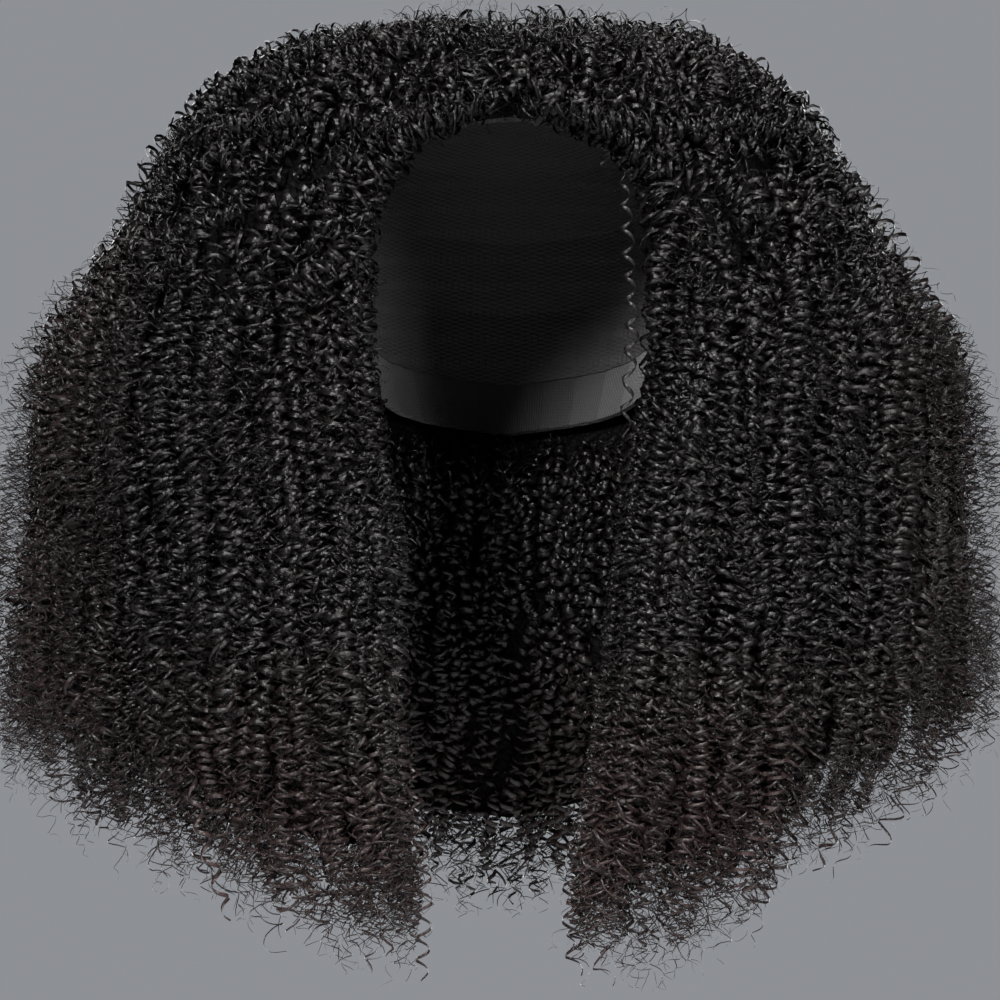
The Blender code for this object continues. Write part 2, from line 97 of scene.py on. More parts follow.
class Finish:
    """A material whose surface is worked out from nodes."""

    def __init__(self, name, **constants):
        self.material = bpy.data.materials.new(name)
        self.material.use_nodes = True
        self.tree = self.material.node_tree
        self.surface = self.tree.nodes["Principled BSDF"]
        for key, value in constants.items():
            self.surface.inputs[key.replace("_", " ")].default_value = value

    def node(self, kind, settings, *values, out=0, **named):
        made = self.tree.nodes.new(kind)
        for key, value in settings.items():
            setattr(made, key, value)
        sockets = [s for s in made.inputs if s.enabled]
        pairs = list(zip(sockets, values))
        for key, value in named.items():
            pairs.append((next(s for s in sockets if s.name == key.replace("_", " ")), value))
        for socket, value in pairs:
            if isinstance(value, Value):
                self.tree.links.new(value.socket, socket)
            else:
                socket.default_value = value
        return Value(self, [s for s in made.outputs if s.enabled][out])

    def place(self):
        """Where a point of the surface is, in the object's frame."""
        return self.node("ShaderNodeTexCoord", {}, out=3)

    def axes(self, vector):
        return [self.node("ShaderNodeSeparateXYZ", {}, vector, out=axis) for axis in range(3)]

    def noise(self, scale, detail=3.0):
        return self.node(
            "ShaderNodeTexNoise", {}, Vector=self.place(), Scale=scale, Detail=detail, Roughness=0.6
        )

    def stored(self, name):
        """A number that the mesh holds for each of its points."""
        return self.node("ShaderNodeAttribute", {"attribute_name": name}, out=2)

    def mix(self, share, first, second):
        settings = {"data_type": "RGBA"}
        colours = [c if isinstance(c, Value) else (*c, 1.0) for c in (first, second)]
        return self.node("ShaderNodeMix", settings, share, *colours)

    def wear(self, **values):
        """Lead values into the surface's own sockets."""
        for key, value in values.items():
            self.tree.links.new(value.socket, self.surface.inputs[key.replace("_", " ")])

    def relief(self, height, depth, strength=1.0):
        self.wear(Normal=self.node("ShaderNodeBump", {}, Height=height, Distance=depth, Strength=strength))


def dress(node, finish):
    """Give a node of the frame its finish, and smooth its faces where they turn little."""
    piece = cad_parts[node]
    piece.data.shade_smooth()
    piece.data.set_sharp_from_angle(angle=math.radians(SHARP_TURN))
    for slot in piece.material_slots:
        slot.material = finish.material


def make_net():
    net = Finish("cap_net", Roughness=0.8)
    x, y, z = net.axes(net.place())
    x0, y0, z0 = CAP_MIDDLE
    turn = net.node("ShaderNodeMath", {"operation": "ARCTAN2"}, x - x0, y0 - y)
    flat = ((x - x0) ** 2 + (y - y0) ** 2) ** 0.5
    polar = net.node("ShaderNodeMath", {"operation": "ARCTAN2"}, flat, z - z0)
    cells = 2 * math.pi * round(CAP_GIRTH_RADIUS / NET_CELL)
    across, down = turn * (cells / (2 * math.pi)), polar * (CAP_VAULT_RADIUS * math.pi / NET_CELL)
    hole = ((across + down).sine() * (across - down).sine()).size() ** 0.5
    row = (polar * (CAP_VAULT_RADIUS / WEFT_SPACING)).part()
    weft = ((row - 0.5).size() * WEFT_SPACING).below(WEFT_WIDTH / 2)
    stitch = ((turn * (CAP_GIRTH_RADIUS / STITCH_LENGTH * math.pi)).sine().size() + 0.2) * weft
    worn = net.noise(90.0)
    shade = net.mix(hole * 0.85, THREAD_COLOUR, NET_HOLE_COLOUR)
    shade = net.mix(weft * 0.8, shade, net.mix(worn, NET_COLOUR, THREAD_COLOUR))
    net.wear(Base_Color=shade, Roughness=0.62 + 0.25 * worn)
    net.relief(weft * 1.2 + stitch * 0.35 + (1 - hole) * 0.4 + worn * 0.15, 0.0008)
    return net


dress("cap", make_net())

# The bands: flat black elastic, woven with fine ribs across and a line of stitches along each edge. The front
# one grips along the hairline and shows as the smooth dark rim under the curls, the other closes the nape.
RIB_PITCH = 0.0011
WEAVE_PITCH = 0.0006875
BAND_COLOUR = (0.010, 0.010, 0.011)
BAND_SHEEN_COLOUR = (0.030, 0.029, 0.030)


def make_elastic():
    elastic = Finish("woven_elastic", Roughness=0.6, Sheen_Weight=0.25, Sheen_Roughness=0.4)
    x, y, z = elastic.axes(elastic.place())
    turn = elastic.node("ShaderNodeMath", {"operation": "ARCTAN2"}, x, 0 - y)
    rib = (turn * (CAP_GIRTH_RADIUS / RIB_PITCH * math.pi)).sine().size()
    weave = ((z * (math.pi / WEAVE_PITCH)).sine() * 0.5 + 0.5) * 0.4
    worn = elastic.noise(160.0)
    # Painted sheen: the rib tops are painted lighter, towards BAND_SHEEN_COLOUR, where the noise is high.
    elastic.wear(
        Base_Color=elastic.mix(rib * worn, BAND_COLOUR, BAND_SHEEN_COLOUR),
        Roughness=0.48 + 0.3 * worn,
    )
    elastic.relief(rib + weave + worn * 0.3, 0.0003)
    return elastic


elastic = make_elastic()
dress("front_band", elastic)
dress("nape_band", elastic)

# The comb: one small strip of black moulded plastic, satin from the mould and polished a little by use.
COMB_COLOUR = (0.014, 0.012, 0.011)
COMB_WORN_COLOUR = (0.028, 0.024, 0.022)


def make_comb_plastic():
    plastic = Finish("comb_plastic", Roughness=0.35, Coat_Weight=0.1)
    worn = plastic.noise(220.0, 5.0)
    plastic.wear(
        Base_Color=plastic.mix(worn, COMB_COLOUR, COMB_WORN_COLOUR),
        Roughness=0.25 + 0.3 * worn,
    )
    plastic.relief(worn, 0.0001, 0.4)
    return plastic


dress("front_comb", make_comb_plastic())

# The crown's curls: dyed black hair, steam-set on rods of pencil size and smaller, sewn to the cap in rows
# and combed apart. They spring up from the band and fall to both sides. The hair's outline and what makes a
# curl stand here too.
HEAD_HALF_WIDTH = 0.076
HEAD_HALF_LENGTH = 0.096
HEAD_VAULT = 0.100
HAIR_CLEARANCE = 0.004  # over the bare head, for cap and bands
HAIR_RISE = 0.020
SEAM_DROP = 0.080
HAIR_DROP = 0.402
SIDE_REACH = {-1: 0.224, 1: 0.214}
FRONT_REACH = 0.130
BACK_REACH = 0.178
FACE_HALF_WIDTH = 0.0585
OUTLINE_POWER = 2.2
EDGE_ROUNDING = 0.026
EDGE_THICKNESS = 0.42
ARCH_LEVEL = -0.52  # the top of the opening for the face
FALL = HAIR_DROP - SEAM_DROP
TOP, LOWEST = -0.9995, 1.1  # levels that a point of the hair can have

# Level is -1 at the top of the hair, 0 at the foot of the crown's curls, 1 at the lowest ends.
Outline = namedtuple("Outline", "level left right front back")
OUTLINE = [
    Outline(-1.00, 0.000, 0.000, 0.00, 0.00),
    Outline(-0.95, 0.260, 0.330, 0.36, 0.34),
    Outline(-0.82, 0.450, 0.450, 0.60, 0.56),
    Outline(-0.65, 0.580, 0.555, 0.70, 0.69),
    Outline(-0.44, 0.660, 0.635, 0.76, 0.79),
    Outline(-0.22, 0.720, 0.710, 0.80, 0.85),
    Outline(0.00, 0.790, 0.780, 0.83, 0.89),
    Outline(0.07, 0.850, 0.845, 0.84, 0.91),
    Outline(0.13, 0.900, 0.900, 0.86, 0.93),
    Outline(0.27, 0.970, 0.960, 0.90, 0.97),
    Outline(0.47, 1.000, 1.000, 0.96, 1.00),
    Outline(0.60, 0.995, 0.990, 1.00, 1.00),
    Outline(0.72, 0.960, 0.940, 1.00, 0.98),
    Outline(0.80, 0.890, 0.860, 0.99, 0.96),
    Outline(0.88, 0.780, 0.750, 0.96, 0.92),
    Outline(1.00, 0.600, 0.600, 0.90, 0.86),
]

# Neck and shoulders under the hair: shares of the head's half width and half length.
Bust = namedtuple("Bust", "level side front back")
BUST = [
    Bust(0.00, 0.80, 0.600, 0.60),
    Bust(0.20, 0.92, 0.800, 0.65),
    Bust(0.34, 0.90, 0.875, 0.67),
    Bust(0.47, 0.88, 0.835, 0.69),
    Bust(0.56, 0.98, 0.815, 0.75),
    Bust(0.64, 1.32, 0.835, 0.83),
    Bust(0.73, 1.97, 0.875, 0.92),
    Bust(0.87, 2.34, 0.920, 1.02),
    Bust(1.00, 2.42, 0.940, 1.06),
]

# The opening for face and neck: shares of FACE_HALF_WIDTH.
Opening = namedtuple("Opening", "level left right")
OPENING = [
    Opening(ARCH_LEVEL, 0.000, 0.000),
    Opening(-0.49, 0.310, 0.310),
    Opening(-0.44, 0.550, 0.565),
    Opening(-0.34, 0.755, 0.785),
    Opening(-0.20, 0.905, 0.925),
    Opening(0.00, 0.985, 1.000),
    Opening(0.13, 1.000, 1.000),
    Opening(0.20, 0.957, 0.950),
    Opening(0.27, 0.900, 0.855),
    Opening(0.33, 0.830, 0.830),
    Opening(0.41, 0.760, 0.760),
    Opening(0.49, 0.770, 0.700),
    Opening(0.60, 0.730, 0.630),
    Opening(0.71, 0.684, 0.530),
    Opening(0.81, 0.640, 0.436),
    Opening(0.89, 0.615, 0.430),
    Opening(0.94, 0.630, 0.510),
    Opening(1.00, 0.735, 0.680),
]

# The level of the hair's ends, by azimuth in degrees from the face.
Ends = namedtuple("Ends", "azimuth left right")
ENDS = [
    Ends(15, 0.915, 0.915),
    Ends(31, 0.915, 0.940),
    Ends(44, 0.875, 0.865),
    Ends(63, 0.800, 0.755),
    Ends(75, 0.740, 0.675),
    Ends(90, 0.690, 0.625),
    Ends(105, 0.710, 0.660),
    Ends(125, 0.820, 0.790),
    Ends(150, 0.905, 0.890),
    Ends(180, 0.930, 0.930),
]
SIDES = {-1: "left", 1: "right"}
LEVELS = np.linspace(-1, 1, 241)


def column(rows, name):
    return np.array([getattr(row, name) for row in rows], float)


def eased(xs, ys, at):
    """A curve through points, which overshoots nowhere."""
    step = np.diff(xs)
    slope = np.diff(ys) / step
    bend = np.zeros(len(xs))
    product = slope[:-1] * slope[1:]
    bend[1:-1] = np.where(product > 0, 2 * product / (slope[:-1] + slope[1:] + 1e-30), 0)
    bend[0], bend[-1] = slope[0], slope[-1]
    i = np.clip(np.searchsorted(xs, at, side="right") - 1, 0, len(step) - 1)
    t = np.clip((at - xs[i]) / step[i], 0, 1)
    return (
        (1 + 2 * t) * (1 - t) ** 2 * ys[i]
        + t * (1 - t) ** 2 * step[i] * bend[i]
        + t * t * (3 - 2 * t) * ys[i + 1]
        + t * t * (t - 1) * step[i] * bend[i + 1]
    )


def height_at(level):
    return -SEAM_DROP - np.where(level < 0, level * (HAIR_RISE + SEAM_DROP), level * FALL)


def oval(azimuth, half_width, half_length, power):
    across = (np.abs(np.sin(azimuth)) / half_width) ** power
    along = (np.abs(np.cos(azimuth)) / half_length) ** power
    return (across + along) ** (-1 / power)


def outline_column(name):
    """A column of the outline at LEVELS, eased row by row, as the outline's top is too steep for levels."""
    rows = np.arange(len(OUTLINE), dtype=float)
    fine = np.linspace(0, rows[-1], 600)
    levels = eased(rows, column(OUTLINE, "level"), fine)
    return np.interp(LEVELS, levels, eased(rows, column(OUTLINE, name), fine))


def bust_column(name):
    return eased(column(BUST, "level"), column(BUST, name), LEVELS)


WIDTHS = {side: SIDE_REACH[side] * outline_column(SIDES[side]) + 1e-4 for side in SIDES}
REACHES = {
    True: FRONT_REACH * outline_column("front") + 1e-4,
    False: BACK_REACH * outline_column("back") + 1e-4,
}
BUST_WIDTH = HEAD_HALF_WIDTH * bust_column("side")
BUST_REACH = {True: HEAD_HALF_LENGTH * bust_column("front"), False: HEAD_HALF_LENGTH * bust_column("back")}
OPEN_HALF = {
    side: FACE_HALF_WIDTH * eased(column(OPENING, "level"), column(OPENING, name), LEVELS)
    for side, name in SIDES.items()
}


def outline_radius(side, azimuth, level):
    reach = np.where(
        np.abs(azimuth) < math.pi / 2,
        np.interp(level, LEVELS, REACHES[True]),
        np.interp(level, LEVELS, REACHES[False]),
    )
    width = np.where(side < 0, np.interp(level, LEVELS, WIDTHS[-1]), np.interp(level, LEVELS, WIDTHS[1]))
    return oval(azimuth, width, reach, OUTLINE_POWER)


def form_radius(side, azimuth, level):
    """Radius of head, neck and shoulders."""
    rise = (height_at(level) + HEAD_VAULT) / (HEAD_VAULT + HAIR_CLEARANCE)
    share = np.sqrt(np.clip(1 - rise**2, 1e-4, 1))
    head = oval(
        azimuth, (HEAD_HALF_WIDTH + HAIR_CLEARANCE) * share, (HEAD_HALF_LENGTH + HAIR_CLEARANCE) * share, 2
    )
    reach = np.where(
        np.abs(azimuth) < math.pi / 2,
        np.interp(level, LEVELS, BUST_REACH[True]),
        np.interp(level, LEVELS, BUST_REACH[False]),
    )
    bust = oval(azimuth, np.interp(level, LEVELS, BUST_WIDTH), reach, 2)
    return np.where(level < 0, head, np.maximum(head, bust))


def opening_turns(radius_of):
    """Azimuth of the opening's edge at LEVELS, for each side."""
    found = {}
    for side in SIDES:
        low, high = np.zeros_like(LEVELS), np.full_like(LEVELS, math.radians(85))
        for _ in range(40):
            middle = (low + high) / 2
            inside = radius_of(np.full_like(LEVELS, side), middle, LEVELS) * np.sin(middle) < OPEN_HALF[side]
            low, high = np.where(inside, middle, low), np.where(inside, high, middle)
        found[side] = np.where(LEVELS <= ARCH_LEVEL, 0, low)
    return found


OUTLINE_TURNS = opening_turns(outline_radius)
FORM_TURNS = opening_turns(form_radius)


def turn_at(turns, side, share, level):
    """Azimuth at a share of the way from the opening's edge, 0, round to the back's middle, 1."""
    edge = np.where(side < 0, np.interp(level, LEVELS, turns[-1]), np.interp(level, LEVELS, turns[1]))
    return edge + (math.pi - edge) * share


def hair_point(side, share, level, depth):
    """A point in the hair, at depth 0 on the head and 1 on the outline.

    Past an end of share lies the other side.
    """
    side = np.where((share > 1) | ((share < 0) & (level < ARCH_LEVEL)), -side, side)
    share = np.clip(np.where(share > 1, 2 - share, np.where(level < ARCH_LEVEL, np.abs(share), share)), 0, 1)
    level = np.clip(level, TOP, LOWEST)
    turn = turn_at(OUTLINE_TURNS, side, share, level)
    radius = outline_radius(side, turn, level)
    height = height_at(level)
    full = np.stack([side * radius * np.sin(turn), -radius * np.cos(turn), height], -1)
    inner_turn = turn_at(FORM_TURNS, side, share, level)
    inner = form_radius(side, inner_turn, level)
    low = np.minimum(height, HAIR_CLEARANCE)
    free = np.stack([side * inner * np.sin(inner_turn), -inner * np.cos(inner_turn), low], -1)
    round_it = (turn - turn_at(OUTLINE_TURNS, side, 0, level)) * radius
    away = np.hypot(round_it, np.maximum(0, ARCH_LEVEL - level) * (HAIR_RISE + SEAM_DROP))
    inward = np.clip(1 - away / EDGE_ROUNDING, 0, 1)
    rounded = EDGE_THICKNESS + (1 - EDGE_THICKNESS) * np.sqrt(1 - inward**2)
    return free + (full - free) * (depth * rounded)[..., None]


def ends_level(side, share):
    """Level at which the hair ends."""
    turn = np.degrees(turn_at(OUTLINE_TURNS, side, np.clip(share, 0, 1), np.full_like(share, 0.8)))
    left, right = (eased(column(ENDS, "azimuth"), column(ENDS, name), turn) for name in SIDES.values())
    return np.where(side < 0, left, right)


def unit(vectors):
    return vectors / (np.linalg.norm(vectors, axis=-1, keepdims=True) + 1e-12)


def slopes(side, share, level, depth):
    """Steps of the hair's surface for a step round it and a step down it, and the way out of it."""
    tiny = 0.004
    round_it = hair_point(side, share + tiny, level, depth) - hair_point(side, share - tiny, level, depth)
    down = hair_point(side, share, level + tiny, depth) - hair_point(side, share, level - tiny, depth)
    out = unit(np.cross(down, round_it)) * side[..., None]
    return round_it / (2 * tiny), down / (2 * tiny), out


GUIDE_POINTS = 40
AIRY_DEPTH = 0.014  # of the thin outer hair at the sides, where the dense hair lies that much deeper
AIRY_SHARES = 0.16, 0.40, 0.58, 0.80  # where it begins, is full, is still full and ends
AIRY_LEVELS = 0.0, 0.35  # where it begins and is full
STRAY_LENGTH = 0.014  # of a strand, for one step in its waves
DRIFT_LENGTH = 0.08  # over which a strand near the face is led back


def airiness(share, level):
    """How thin the outer hair is, 0 to 1."""
    return np.interp(share, AIRY_SHARES, (0, 1, 1, 0)) * np.interp(level, AIRY_LEVELS, (0, 1))


def trace(rng, side, share, level, length, depth, sway, drift, airy=0.0):
    """Run a strand from each start over the hair. Gives GUIDE_POINTS places and outward ways for each strand.

    airy is how far a strand keeps under the thin outer hair, 0 to 1.
    """
    count = len(share)
    waves = rng.uniform(0.6, 1.6, (3, count)) * np.array([[1], [2.1], [3.7]])
    phases = rng.uniform(0, 2 * math.pi, (3, count))
    places, outs = [], []
    step = length / (GUIDE_POINTS - 1)
    for i in range(GUIDE_POINTS):
        went = step * i
        round_it, down, out = slopes(side, share, level, depth)
        sunk = AIRY_DEPTH * airiness(share, level) * airy
        places.append(hair_point(side, share, level, depth) - out * sunk[..., None])
        outs.append(out)
        heading = drift * np.exp(-went / DRIFT_LENGTH) + sway * sum(
            np.sin(phases[k] + waves[k] * went / STRAY_LENGTH) / (1 + 0.6 * k) for k in range(3)
        )
        round_size = np.linalg.norm(round_it, axis=-1) + 0.02
        down_size = np.linalg.norm(down, axis=-1) + 0.01
        share = share + step * np.sin(heading) / round_size
        level = level + step * np.cos(heading) / down_size
    return np.stack(places, 1), np.stack(outs, 1)


Curl = namedtuple("Curl", "radius pitch width steps kink")
SPRING = Curl(radius=0.0034, pitch=0.0064, width=0.0015, steps=8, kink=0.15)
FINE = Curl(radius=0.0023, pitch=0.0047, width=0.0008, steps=7, kink=0.3)
LOOSE = Curl(radius=0.0046, pitch=0.0105, width=0.0015, steps=10, kink=0.25)
DEEP = Curl(radius=0.0034, pitch=0.0072, width=0.0024, steps=6, kink=0.2)
WISP = Curl(radius=0.0029, pitch=0.0066, width=0.00045, steps=7, kink=0.5)
TIP = Curl(radius=0.0026, pitch=0.0115, width=0.0005, steps=11, kink=0.3)
LOOP = Curl(radius=0.0048, pitch=0.0155, width=0.0006, steps=16, kink=0.2)
FRIZZ = Curl(radius=0.0025, pitch=0.0078, width=0.00028, steps=8, kink=0.6)
TAPER = 0.012  # over which a curl narrows towards its ends
TOP_LEVEL = -0.88  # above which curls start closer together, as no others fall over them there
BLOCK_TOP = 0.035  # half the stretch of levels under the crown's curls where they do so too
TOP_CROWDING = 2.2
BARE_ENDS = 0.06  # levels above the hair's ends where no curl starts
THIN_HEIGHTS = (-0.37, -0.23)  # lowest and highest, between which the curls get thinner downwards
THIN_SHARE = 0.7  # of a curl's width that is left there
ROOT_SINK = 0.006
ROOT_LENGTH = 0.02  # over which a curl comes up from its root
TURN_WAVE, SIZE_WAVE, SHOVE_WAVE = 0.0045, 0.0071, 0.0105  # lengths of what makes a curl uneven


def wind(rng, curl, guides, outs, length, inset, lift=0.0):
    """Wind a curl round each guide as a narrow ribbon. Gives its edges, and each step's owner and tone.

    inset sinks a guide below the hair's surface and lift raises its far end.
    """
    count = len(guides)
    pitch = curl.pitch * rng.uniform(0.78, 1.3, count)
    points = np.maximum(8, np.ceil(length / pitch * curl.steps)).astype(int) + 1
    owner = np.repeat(np.arange(count), points)
    first = np.repeat(np.cumsum(points) - points, points)
    number = np.arange(len(owner)) - first
    way = number / (points[owner] - 1)
    at = way * (GUIDE_POINTS - 1)
    low = np.minimum(at.astype(int), GUIDE_POINTS - 2)
    blend = (at - low)[:, None]
    middle = guides[owner, low] * (1 - blend) + guides[owner, low + 1] * blend
    out = unit(outs[owner, low] * (1 - blend) + outs[owner, low + 1] * blend)
    along = unit(guides[owner, low + 1] - guides[owner, low])
    beside = unit(np.cross(along, out))
    out = np.cross(beside, along)
    went = way * length[owner]
    taper = np.minimum(1, np.minimum(went, length[owner] - went + 0.003) / TAPER)
    root = ROOT_SINK * (1 - np.minimum(1, went / ROOT_LENGTH))
    middle = middle + out * (lift * way**2 - inset[owner] - root)[:, None]
    swell = rng.uniform(0, 2 * math.pi, (3, count))[:, owner]
    hand = rng.choice([-1, 1], count)[owner]
    phase = swell[0] + hand * number * 2 * math.pi / curl.steps
    phase = phase + curl.kink * 1.6 * np.sin(went / TURN_WAVE + swell[1])
    size = curl.radius * rng.uniform(0.7, 1.3, count)[owner] * (0.35 + 0.65 * taper)
    size = size * (1 + 0.6 * curl.kink * np.sin(went / SIZE_WAVE + swell[2]))
    shove = curl.kink * curl.radius * np.sin(went / SHOVE_WAVE + swell[1])
    spoke = np.cos(phase)[:, None] * out + np.sin(phase)[:, None] * beside
    line = middle + spoke * size[:, None] + beside * shove[:, None]
    last = first + points[owner] - 1
    index = np.arange(len(owner))
    tangent = unit(line[np.minimum(index + 1, last)] - line[np.maximum(index - 1, first)])
    half = curl.width / 2 * rng.uniform(0.65, 1.35, count)[owner] * (0.25 + 0.75 * taper)
    half = half * np.interp(line[:, 2], THIN_HEIGHTS, (THIN_SHARE, 1))
    tilt = rng.uniform(-0.5, 0.5, count)[owner][:, None]
    wide = unit(np.cross(tangent, spoke)) * np.cos(tilt) + spoke * np.sin(tilt)
    edges = np.stack([line - wide * half[:, None], line + wide * half[:, None]], 1)
    return edges, owner, rng.uniform(0, 1, count)[owner]


def ribbon_mesh(name, batches):
    """One mesh from wound curls. It keeps each point's tone and its place across the ribbon."""
    corners, faces, tones, base = [], [], [], 0
    for edges, owner, tone in batches:
        here = np.flatnonzero(owner[:-1] == owner[1:]) * 2 + base
        faces.append(np.stack([here, here + 1, here + 3, here + 2], -1))
        corners.append(edges.reshape(-1, 3))
        tones.append(np.repeat(tone, 2))
        base += len(owner) * 2
    corners, faces = np.concatenate(corners), np.concatenate(faces)
    mesh = bpy.data.meshes.new(name)
    mesh.vertices.add(len(corners))
    mesh.vertices.foreach_set("co", corners.ravel())
    mesh.loops.add(faces.size)
    mesh.loops.foreach_set("vertex_index", faces.ravel())
    mesh.polygons.add(len(faces))
    mesh.polygons.foreach_set("loop_start", np.arange(len(faces)) * 4)
    mesh.update(calc_edges=True)
    mesh.shade_smooth()
    stored = {"tone": np.concatenate(tones), "across": np.tile([-1.0, 1.0], base // 2)}
    for attribute, values in stored.items():
        mesh.attributes.new(attribute, "FLOAT", "POINT").data.foreach_set("value", values)
    piece = bpy.data.objects.new(name, mesh)
    bpy.context.scene.collection.objects.link(piece)
    return piece


def sow(rng, count, shares, levels, depth, at_ends):
    """Starts spread over a stretch of the hair's surface. shares holds its two ends and its sides.

    at_ends measures the levels from the hair's ends.
    """
    tries = count * 60
    side = rng.choice(shares[2], tries).astype(float)
    share = rng.uniform(shares[0], shares[1], tries)
    level = rng.uniform(levels[0], levels[1], tries) + at_ends * ends_level(side, share)
    round_it, down, _ = slopes(side, share, level, np.full(tries, float(depth)))
    chance = np.linalg.norm(np.cross(round_it, down), axis=-1) * (level < ends_level(side, share) - BARE_ENDS)
    crowded = (level < TOP_LEVEL) | (np.abs(level - BLOCK_TOP) < BLOCK_TOP)
    chance = chance * np.where(crowded, TOP_CROWDING, 1)
    kept = rng.choice(tries, count, replace=False, p=chance / chance.sum())
    return side[kept], share[kept], level[kept]


Layer = namedtuple(
    "Layer", "curl lengths insets sway drift lift short over airy", defaults=(0.0, 0.0, 0.0, 0.012, (1, 1))
)
LOCK_SINK = 0.009
LOCKS_ROUND = 23  # from the face to the back
CROWN_SLOPE = 0.13  # from the hair's top down to the foot of the crown's curls, measured over the hair
SHORTEST = 0.012


def grow(rng, layer, count, shares, levels, depth=1.0, at_ends=False):
    """Curls of one layer over a stretch of the hair. They start as sow says and stray as trace says.

    drift leads those near the face back and lift raises their ends. The lowest end short of the hair's ends,
    more or less by over. airy tells how far they keep under the thin outer hair.
    """
    side, share, level = sow(rng, count, shares, levels, depth, at_ends)
    to_ends = (ends_level(side, share) - np.maximum(level, 0)) * FALL - np.minimum(level, 0) * CROWN_SLOPE
    wanted = rng.uniform(*layer.lengths, count)
    longest = to_ends - layer.short + rng.uniform(-layer.over, layer.over, count)
    length = np.maximum(np.minimum(wanted, longest), SHORTEST)
    drift = layer.drift * np.exp(-((share * 3.2) ** 2)) * rng.uniform(-0.7, 1.3, count)
    airy = rng.uniform(*layer.airy, count)
    depths = np.full(count, float(depth))
    guides, outs = trace(rng, side, share, level, length, depths, layer.sway, drift, airy)
    inset = rng.uniform(*layer.insets, count) + LOCK_SINK * lock_valleys(side, share, level)
    return wind(rng, layer.curl, guides, outs, length, inset, layer.lift)


def lock_valleys(side, share, level):
    """How deep a place lies between two locks, 0 to 1."""
    wave = np.sin(share * LOCKS_ROUND * math.pi + side * 1.3 + 1.1 * np.sin(level * 4 + share * 9))
    return (1 - np.abs(wave)) ** 2.5


BLACK_COLOURS = (0.0012, 0.0011, 0.0012), (0.0040, 0.0036, 0.0036)
BROWN_COLOUR = (0.054, 0.031, 0.028)
BROWN_HEIGHTS = -0.24, -0.38  # where the hair begins to brown downwards and is brownest
BROWN_REACHES = 0.15, 0.24  # from the middle to both sides
# Painted shade: the deep hair's colours are darker than the curls' black, for the shade deep between the
# curls.
FELT_SHADE_COLOURS = (0.0006, 0.0006, 0.0006), (0.0022, 0.0019, 0.0019)


def make_hair():
    """Black hair, browner at the low ends and outer sides, in fine strands side by side along each ribbon."""
    hair = Finish("curled_hair", IOR=1.55, Specular_IOR_Level=0.26)
    x, _, z = hair.axes(hair.place())
    tone, across = hair.stored("tone"), hair.stored("across")
    low = hair.node("ShaderNodeMapRange", {"clamp": True}, z, *BROWN_HEIGHTS, 0.0, 1.0)
    far = hair.node("ShaderNodeMapRange", {"clamp": True}, x.size(), *BROWN_REACHES, 0.0, 1.0)
    brown = (low * 0.75 + far * 0.4 + 0.04) * (0.15 + hair.noise(14.0, 2.0) * 1.1) * (0.45 + 0.8 * tone)
    streak = hair.noise(900.0, 2.0)
    strands = (across * 7.0 + tone * 40.0 + streak * 2.0).sine().size()
    hair.wear(
        Base_Color=hair.mix(brown, hair.mix(tone * strands, *BLACK_COLOURS), BROWN_COLOUR),
        Roughness=0.17 + 0.08 * tone + 0.12 * streak,
    )
    hair.relief(1 - across * across + 0.18 * strands, 0.0005)
    return hair


def make_felt():
    """The matted hair deep between the curls, with coils that only just catch light. Its near black is partly
    the hair's own and partly painted shade, darker than the curls for the shade deep inside the hair.
    """
    felt = Finish("deep_hair", Roughness=0.6, IOR=1.5, Specular_IOR_Level=0.06)
    shift = felt.noise(160.0, 2.0) * 0.004
    bent = felt.node("ShaderNodeVectorMath", {"operation": "ADD"}, felt.place(), shift)
    curls = felt.node("ShaderNodeTexVoronoi", {"feature": "F1"}, Vector=bent, Scale=330.0)
    fine = felt.noise(420.0, 3.0)
    felt.wear(
        Base_Color=felt.mix(fine, *FELT_SHADE_COLOURS),
        Roughness=0.45 + 0.4 * fine,
    )
    felt.relief(curls + fine * 0.6, 0.002)
    return felt


hair = make_hair()
felt = make_felt()
FELT_SINK = 0.015  # of the matted hair below the curls' tops
FELT_LIFT = 0.006  # of its inner side above the head
FELT_SHORT = 0.15  # levels that it ends above the curls' ends


